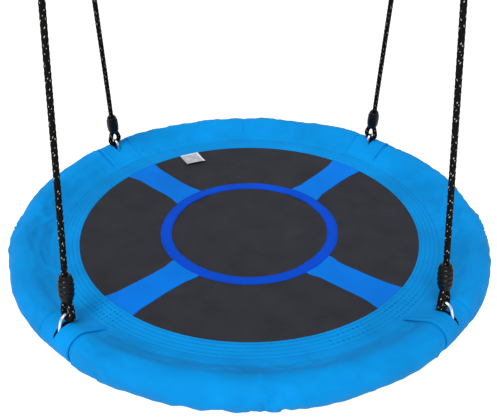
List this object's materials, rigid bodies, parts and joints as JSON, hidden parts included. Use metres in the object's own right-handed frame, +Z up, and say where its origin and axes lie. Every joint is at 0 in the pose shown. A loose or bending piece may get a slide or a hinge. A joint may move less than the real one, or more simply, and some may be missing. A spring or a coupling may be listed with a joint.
{
  "type": "saucer nest swing",
  "caption": "Round nest swing: padded steel ring with a sewn cover, dished mesh floor with crossed straps and round trim, hung on braided ropes with spring hooks.",
  "frame": {"origin": "level with the bearing points of the spring hooks, in the middle of the four", "axes": "+Z up, +X to the sitter's right along the beam, +Y away from the viewer, across the beam"},
  "size_m": [1, 1, 0.7633],
  "materials": {
    "tube_steel": "powder-coated steel tube, semi-gloss",
    "zinc_steel": "bright zinc-plated steel",
    "link_steel": "bright plated steel wire",
    "foam": "closed-cell foam, matt",
    "cover_fabric": "coated woven polyester, soft sheen",
    "strap_fabric": "coated woven polyester, doubled",
    "trim_fabric": "woven polyester tape",
    "mesh_fabric": "coated open mesh, fine weave",
    "label": "small woven label, blank",
    "rope": "braided polyethylene with pale flecks",
    "ferrule_plastic": "moulded, glossy"
  },
  "bodies": {
    "root": {"hook_fl": "zinc_steel", "hook_fr": "zinc_steel", "hook_bl": "zinc_steel", "hook_br": "zinc_steel", "gate_pins": "zinc_steel"},
    "seat": {"tube_back_right": "tube_steel", "tube_back_left": "tube_steel", "tube_front_left": "tube_steel", "tube_front_right": "tube_steel", "tube_bolts": "zinc_steel", "tube_nuts": "zinc_steel", "foam_right": "foam", "foam_back": "foam", "foam_left": "foam", "foam_front": "foam", "sleeve_right": "cover_fabric", "sleeve_back": "cover_fabric", "sleeve_left": "cover_fabric", "sleeve_front": "cover_fabric", "band_top": "cover_fabric", "band_bottom": "cover_fabric", "mesh_panel": "mesh_fabric", "centre_trim": "trim_fabric", "label_tag": "label", "strap_fl": "strap_fabric", "strap_fr": "strap_fabric", "strap_bl": "strap_fabric", "strap_br": "strap_fabric"},
    "gate_body_fl": {"gate_fl": "zinc_steel"},
    "ring_body_fl": {"ring_fl": "zinc_steel"},
    "rope_body_fl": {"rope_fl": "rope", "lower_ferrule_fl": "ferrule_plastic", "upper_ferrule_fl": "ferrule_plastic"},
    "link_body_fl": {"link_fl": "link_steel"},
    "gate_body_fr": {"gate_fr": "zinc_steel"},
    "ring_body_fr": {"ring_fr": "zinc_steel"},
    "rope_body_fr": {"rope_fr": "rope", "lower_ferrule_fr": "ferrule_plastic", "upper_ferrule_fr": "ferrule_plastic"},
    "link_body_fr": {"link_fr": "link_steel"},
    "gate_body_bl": {"gate_bl": "zinc_steel"},
    "ring_body_bl": {"ring_bl": "zinc_steel"},
    "rope_body_bl": {"rope_bl": "rope", "lower_ferrule_bl": "ferrule_plastic", "upper_ferrule_bl": "ferrule_plastic"},
    "link_body_bl": {"link_bl": "link_steel"},
    "gate_body_br": {"gate_br": "zinc_steel"},
    "ring_body_br": {"ring_br": "zinc_steel"},
    "rope_body_br": {"rope_br": "rope", "lower_ferrule_br": "ferrule_plastic", "upper_ferrule_br": "ferrule_plastic"},
    "link_body_br": {"link_br": "link_steel"}
  },
  "joints": [
    {"name": "swing_fore_aft", "type": "hinge", "parent": "root", "child": "ring_body_fl", "pos_m": [-0.30789, -0.1729, -0.06182], "axis": [1, 0, 0], "range_deg": [-15, 15]},
    {"name": "ring_tilt_fr", "type": "hinge", "parent": "root", "child": "ring_body_fr", "pos_m": [0.30859, -0.1729, -0.06182], "axis": [1, 0, 0], "range_deg": [-15, 15]},
    {"name": "ring_tilt_bl", "type": "hinge", "parent": "root", "child": "ring_body_bl", "pos_m": [-0.30789, 0.17575, -0.06182], "axis": [1, 0, 0], "range_deg": [-15, 15]},
    {"name": "ring_tilt_br", "type": "hinge", "parent": "root", "child": "ring_body_br", "pos_m": [0.30859, 0.17575, -0.06182], "axis": [1, 0, 0], "range_deg": [-15, 15]},
    {"name": "swing_sideways", "type": "hinge", "parent": "ring_body_fl", "child": "rope_body_fl", "pos_m": [-0.30864, -0.17908, -0.08655], "axis": [0, 1, 0], "range_deg": [-12, 12]},
    {"name": "rope_sway_fr", "type": "hinge", "parent": "ring_body_fr", "child": "rope_body_fr", "pos_m": [0.30934, -0.17908, -0.08655], "axis": [0, 1, 0], "range_deg": [-12, 12]},
    {"name": "rope_sway_bl", "type": "hinge", "parent": "ring_body_bl", "child": "rope_body_bl", "pos_m": [-0.30864, 0.18193, -0.08655], "axis": [0, 1, 0], "range_deg": [-12, 12]},
    {"name": "rope_sway_br", "type": "hinge", "parent": "ring_body_br", "child": "rope_body_br", "pos_m": [0.30934, 0.18193, -0.08655], "axis": [0, 1, 0], "range_deg": [-12, 12]},
    {"name": "link_sway_fl", "type": "hinge", "parent": "rope_body_fl", "child": "link_body_fl", "pos_m": [-0.32641, -0.32721, -0.67905], "axis": [0, 1, 0], "range_deg": [-12, 12]},
    {"name": "seat_pitch", "type": "hinge", "parent": "link_body_fl", "child": "seat", "pos_m": [-0.33305, -0.33305, -0.7245], "axis": [1, 0, 0], "range_deg": [-15, 15]},
    {"name": "link_tilt_fr", "type": "hinge", "parent": "seat", "child": "link_body_fr", "pos_m": [0.33305, -0.33305, -0.7245], "axis": [1, 0, 0], "range_deg": [-15, 15]},
    {"name": "link_tilt_bl", "type": "hinge", "parent": "seat", "child": "link_body_bl", "pos_m": [-0.33305, 0.33305, -0.7245], "axis": [1, 0, 0], "range_deg": [-15, 15]},
    {"name": "link_tilt_br", "type": "hinge", "parent": "seat", "child": "link_body_br", "pos_m": [0.33305, 0.33305, -0.7245], "axis": [1, 0, 0], "range_deg": [-15, 15]},
    {"name": "gate_fl", "type": "hinge", "parent": "root", "child": "gate_body_fl", "pos_m": [-0.29817, -0.17767, -0.04313], "axis": [-0.7043, -0.6835, 0.192], "range_deg": [0, 25], "stiffness_Nm_per_rad": 0.05, "springref_deg": -22.92},
    {"name": "gate_fr", "type": "hinge", "parent": "root", "child": "gate_body_fr", "pos_m": [0.29887, -0.17767, -0.04313], "axis": [-0.7043, 0.6835, -0.192], "range_deg": [0, 25], "stiffness_Nm_per_rad": 0.05, "springref_deg": -22.92},
    {"name": "gate_bl", "type": "hinge", "parent": "root", "child": "gate_body_bl", "pos_m": [-0.29817, 0.18052, -0.04313], "axis": [0.7043, -0.6835, -0.192], "range_deg": [0, 25], "stiffness_Nm_per_rad": 0.05, "springref_deg": -22.92},
    {"name": "gate_br", "type": "hinge", "parent": "root", "child": "gate_body_br", "pos_m": [0.29887, 0.18052, -0.04313], "axis": [0.7043, 0.6835, 0.192], "range_deg": [0, 25], "stiffness_Nm_per_rad": 0.05, "springref_deg": -22.92}
  ],
  "couplings": [
    {"joint": "ring_tilt_fr", "follows": "swing_fore_aft", "ratio": 1},
    {"joint": "rope_sway_fr", "follows": "swing_sideways", "ratio": 1},
    {"joint": "link_tilt_fr", "follows": "swing_fore_aft", "ratio": 0.521},
    {"joint": "ring_tilt_bl", "follows": "swing_fore_aft", "ratio": 1},
    {"joint": "rope_sway_bl", "follows": "swing_sideways", "ratio": 1},
    {"joint": "link_tilt_bl", "follows": "swing_fore_aft", "ratio": 0.521},
    {"joint": "ring_tilt_br", "follows": "swing_fore_aft", "ratio": 1},
    {"joint": "rope_sway_br", "follows": "swing_sideways", "ratio": 1},
    {"joint": "link_tilt_br", "follows": "swing_fore_aft", "ratio": 0.521},
    {"joint": "link_sway_fl", "follows": "swing_sideways", "ratio": -0.946},
    {"joint": "seat_pitch", "follows": "swing_fore_aft", "ratio": -0.521}
  ]
}
